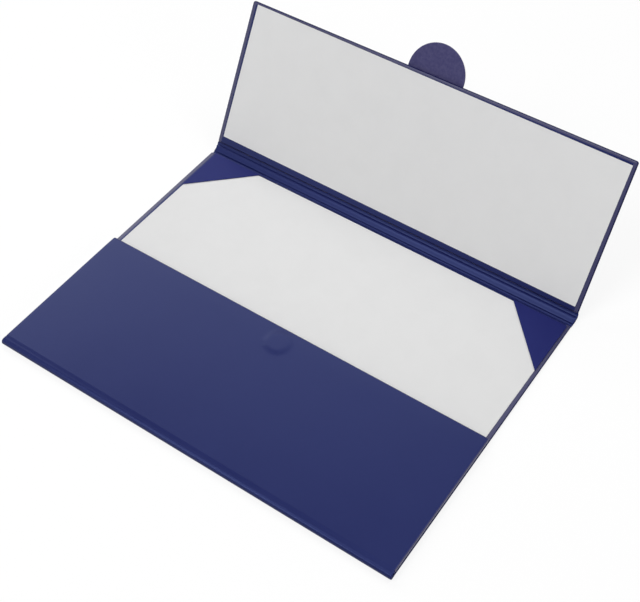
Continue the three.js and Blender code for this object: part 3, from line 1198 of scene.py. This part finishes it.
@dataclass
class DiplomaCover:
    """The whole cover, built body by body."""

    back_pitch: float = span(Fold.BACK_LOW, Fold.BACK_HIGH)[0]
    back_turn: float = span(Fold.BACK_LOW, Fold.BACK_HIGH)[1]
    front_pitch: float = span(Fold.FRONT_LOW, Fold.FRONT_HIGH)[0]
    front_turn: float = span(Fold.FRONT_LOW, Fold.FRONT_HIGH)[1]

    def panels(self) -> list[WrappedPanel]:
        """The wrapped sheets of the three panels."""
        base = layout((0, SIZES.fold_height), 0, 1)
        return [
            WrappedPanel(
                "back_panel_cover",
                base,
                "back_panel",
                ("back_panel_skin",),
                SIZES.front_end,
                SIZES.back_end,
                free=False,
                far_inner=Profile.BACK_LOW_INNER,
                fold=Fold.FRONT_LOW.value[0],
                far_fold=Fold.BACK_LOW.value[0],
            ),
            WrappedPanel(
                "upper_flap_cover",
                layout(Fold.BACK_HIGH.value, 2 * self.back_turn, 1),
                "upper_flap",
                ("upper_flap_skin",),
                SIZES.back_gutter,
                SIZES.upper_reach,
                inner=Profile.BACK_HIGH_INNER,
            ),
            WrappedPanel(
                "lower_flap_cover",
                layout(Fold.FRONT_HIGH.value, 2 * self.front_turn, -1),
                "lower_flap",
                ("lower_flap_skin",),
                SIZES.front_gutter,
                SIZES.lower_reach,
                magnet=102.2,
                bow=0.25,
                outer=Profile.FRONT_HIGH_OUTER,
            ),
        ]

    def bands(self) -> list[GutterBand]:
        """The soft bands over the four fold lines."""
        back = {"gutter": SIZES.back_gutter, "reach": self.back_pitch / 2, "fold": self.back_turn}
        front = {
            "gutter": SIZES.front_gutter,
            "reach": self.front_pitch / 2,
            "fold": self.front_turn,
            "turn_room": self.front_pitch / 2,
        }
        return [
            GutterBand(
                "rear_gutter_low",
                layout(Fold.BACK_LOW.value, 0, 1),
                "back_panel",
                "back_spine",
                ("rear_joint_cloth", "back_spine_skin", "back_spine_card"),
                outer=Profile.BACK_OUTER.value,
                inner=Profile.BACK_LOW_INNER.value,
                left=((-2.3, 0.0), (0.0, -0.2), (3.93, -0.3)),
                right=((-2.3, 0.0), (0.0, 0.3), (3.93, 0.75)),
                **back,
            ),
            GutterBand(
                "rear_gutter_high",
                layout_from_panel(Fold.BACK_HIGH.value, 2 * self.back_turn, 1),
                "upper_flap",
                "back_spine",
                ("upper_flap_joint_cloth", "back_spine_facing"),
                outer=Profile.BACK_OUTER.value,
                inner=Profile.BACK_HIGH_INNER.value,
                left=((-2.3, 0.0), (-0.8, 0.8), (1.5, 0.3), (3.93, -0.3)),
                right=((-2.3, 0.0), (-0.8, 0.5), (1.5, 0.8), (3.93, 0.75)),
                **back,
            ),
            GutterBand(
                "front_gutter_low",
                layout(Fold.FRONT_LOW.value, 0, -1),
                "back_panel",
                "front_spine",
                ("front_joint_cloth", "front_spine_skin", "front_spine_card"),
                outer=Profile.FRONT_LOW_OUTER.value,
                inner=Profile.FRONT_INNER.value,
                **front,
            ),
            GutterBand(
                "front_gutter_high",
                layout_from_panel(Fold.FRONT_HIGH.value, 2 * self.front_turn, -1),
                "lower_flap",
                "front_spine",
                ("lower_flap_joint_cloth", "front_spine_facing"),
                outer=Profile.FRONT_HIGH_OUTER.value,
                inner=Profile.FRONT_INNER.value,
                outer_right=Profile.FRONT_HIGH_OUTER_RIGHT.value,
                **front,
            ),
        ]

    def linings(self) -> list[Lining]:
        """The three linings."""
        base = layout((0, SIZES.fold_height), 0, 1)
        return [
            Lining(
                "back_panel_lining_sheet",
                "back_panel_lining",
                base,
                "back_panel",
                SIZES.front_end + SIZES.lining_fold_margin,
                SIZES.back_end - SIZES.lining_back_margin,
                Finish.BACK_LINING,
            ),
            Lining(
                "upper_flap_lining_sheet",
                "upper_flap_lining",
                layout(Fold.BACK_HIGH.value, 2 * self.back_turn, 1),
                "upper_flap",
                SIZES.back_gutter + SIZES.lining_fold_margin,
                SIZES.upper_reach - SIZES.lining_free_margin,
                Finish.LINING,
            ),
            Lining(
                "lower_flap_lining_sheet",
                "lower_flap_lining",
                layout(Fold.FRONT_HIGH.value, 2 * self.front_turn, -1),
                "lower_flap",
                SIZES.front_gutter + SIZES.lining_fold_margin,
                SIZES.lower_reach - SIZES.lining_free_margin,
                Finish.LINING,
            ),
        ]

    def build(self) -> None:
        """Builds every sub-assembly and dresses the CAD nodes that stay."""
        upper = layout(Fold.BACK_HIGH.value, 2 * self.back_turn, 1)
        parts = [
            *self.panels(),
            *self.bands(),
            *self.linings(),
            CornerPocket("corner_pocket_left", -1, 40.0, 41.3),
            CornerPocket("corner_pocket_right", 1, 44.5, 40.6),
            MagnetTab(upper),
        ]
        for part in parts:
            piece = part.build()
            log.info("%s: %d faces", piece.name, len(piece.data.polygons))
        for name, node in frame["nodes"].items():
            if name.endswith("_magnet"):
                dress(node, Finish.NICKEL)
            elif name.endswith(("_board", "_card", "_core")):
                dress(node, Finish.BOARD)
            elif name.endswith("_lining"):
                dress(node, Finish.LINING)
            else:
                dress(node, Finish.SHEET)


def layout_from_panel(origin: tuple[float, float], angle: float, away: int) -> Matrix:
    """Gives the layout whose y axis runs back along a panel to its fold line and past it.

    Args:
        origin: The fold line's y and z, in millimetres.
        angle: How far the panel is turned up from level, in degrees.
        away: 1 for a panel hinged at the back and -1 for one hinged at the front.

    Returns:
        The matrix from the layout to the row frame.
    """
    made = layout(origin, angle, away)
    return made @ Matrix.Rotation(math.pi, 4, "Z")


@dataclass
class Studio:
    """A pale floor, soft lamps and the camera."""

    lens: float = 67.8
    camera_at: tuple[float, float, float] = (0.31682, -0.40550, 0.64247)
    camera_turn: tuple[float, float, float] = (41.032, -0.0578, 34.1041)
    shift: tuple[float, float] = (-0.03396, -0.02490)

    def seen(self, tree: bpy.types.NodeTree) -> bpy.types.NodeSocket:
        """Tells the rays that see the background from those that only light the object.

        Args:
            tree: The node tree to work in.

        Returns:
            A value of 1 for camera, mirrored and see-through rays, and 0 for the rest.
        """
        rays = add_node(tree, "ShaderNodeLightPath").outputs
        direct = add_node(
            tree, "ShaderNodeMath", {0: rays["Is Camera Ray"], 1: rays["Is Glossy Ray"]}, operation="MAXIMUM"
        )
        every = add_node(
            tree, "ShaderNodeMath", {0: direct.outputs[0], 1: rays["Is Transmission Ray"]}, operation="MAXIMUM"
        )
        return every.outputs[0]

    def floor(self) -> None:
        """Lays a plain pale floor that shows white and keeps a soft shadow."""
        bpy.ops.object.select_all(action="DESELECT")
        bpy.ops.mesh.primitive_plane_add(size=8, location=(0, 0, -0.0002))
        floor = bpy.context.object
        floor.name = "studio_floor"
        material, tree = new_material("studio_floor")
        matt = add_node(tree, "ShaderNodeBsdfDiffuse", {"Color": linear("#f4f4f4")})
        glow = add_node(tree, "ShaderNodeEmission", {"Color": (1, 1, 1, 1), "Strength": 1.0})
        place = add_node(tree, "ShaderNodeTexCoord")
        reach = add_node(tree, "ShaderNodeVectorMath", {0: place.outputs["Object"]}, operation="LENGTH")
        fade = add_node(
            tree,
            "ShaderNodeMapRange",
            {"Value": reach.outputs["Value"], "From Min": 0.35, "From Max": 1.2, "To Min": 0.85, "To Max": 1.0},
        )
        share = add_node(
            tree, "ShaderNodeMath", {0: self.seen(tree), 1: fade.outputs["Result"]}, operation="MULTIPLY"
        )
        mixed = add_node(
            tree,
            "ShaderNodeMixShader",
            {0: share.outputs[0], 1: matt.outputs[0], 2: glow.outputs[0]},
        )
        add_node(tree, "ShaderNodeOutputMaterial", {"Surface": mixed.outputs[0]})
        floor.data.materials.append(material)

    def world(self) -> None:
        """Shows the room white to the camera and in reflections, and lights nothing else."""
        world = bpy.data.worlds.new("studio")
        bpy.context.scene.world = world
        world.use_nodes = True
        tree = world.node_tree
        tree.nodes.clear()
        fill = add_node(tree, "ShaderNodeBackground", {"Color": (1, 1, 1, 1), "Strength": 0.0})
        white = add_node(tree, "ShaderNodeBackground", {"Color": (1, 1, 1, 1), "Strength": 1.0})
        mixed = add_node(
            tree, "ShaderNodeMixShader", {0: self.seen(tree), 1: fill.outputs[0], 2: white.outputs[0]}
        )
        add_node(tree, "ShaderNodeOutputWorld", {"Surface": mixed.outputs[0]})

    def lamp(self, name: str, at: tuple, aim: tuple, size: float, power: float, colour: str = "#ffffff") -> None:
        """Hangs one square soft lamp.

        Args:
            name: The lamp's name.
            at: Its place in metres.
            aim: The point that it faces.
            size: Its side in metres.
            power: Its power in watts.
            colour: Its colour.
        """
        data = bpy.data.lights.new(name, "AREA")
        data.shape = "SQUARE"
        data.size = size
        data.energy = power
        data.color = linear(colour)[:3]
        lamp = bpy.data.objects.new(name, data)
        lamp.location = at
        lamp.rotation_euler = (Vector(at) - Vector(aim)).to_track_quat("Z", "Y").to_euler()
        bpy.context.scene.collection.objects.link(lamp)

    def camera(self) -> None:
        """Sets the camera at the photograph's viewpoint."""
        data = bpy.data.cameras.new("camera")
        data.lens = self.lens
        data.sensor_width = 36
        data.shift_x, data.shift_y = self.shift
        data.clip_start, data.clip_end = 0.01, 50
        camera = bpy.data.objects.new("camera", data)
        camera.location = self.camera_at
        camera.rotation_euler = [math.radians(a) for a in self.camera_turn]
        bpy.context.scene.collection.objects.link(camera)
        bpy.context.scene.camera = camera

    def build(self) -> None:
        """Sets up the whole studio."""
        bpy.context.scene.view_settings.view_transform = "Standard"
        self.floor()
        self.world()
        self.lamp("front_left_high", (-0.42, -0.82, 1.46), (0, 0.02, 0.03), 0.8, 12.3)
        self.lamp("right_low", (1.61, -0.43, 0.38), (0, 0.02, 0.03), 0.8, 10.2)
        self.lamp("back_right_high", (0.60, 0.60, 1.50), (0, 0.02, 0.03), 0.8, 8.6)
        self.lamp("left", (-1.26, 0.59, 1.01), (0, 0.02, 0.03), 0.8, 7.4)
        self.lamp("back", (-0.57, 0.99, 1.29), (0, 0.02, 0.03), 0.8, 5.2)
        self.lamp("front_left_low", (-0.83, -1.44, 0.38), (0, 0.02, 0.03), 0.8, 3.5)
        self.lamp("top", (0.00, 0.00, 1.73), (0, 0.02, 0.03), 0.8, 3.1)
        self.lamp("front", (-0.41, -1.13, 1.23), (0, 0.02, 0.03), 0.8, 3.1)
        self.camera()


def main() -> None:
    """Builds the cover and the studio."""
    logging.basicConfig(level=logging.INFO)
    DiplomaCover().build()
    Studio().build()


if __name__ == "__main__":
    main()
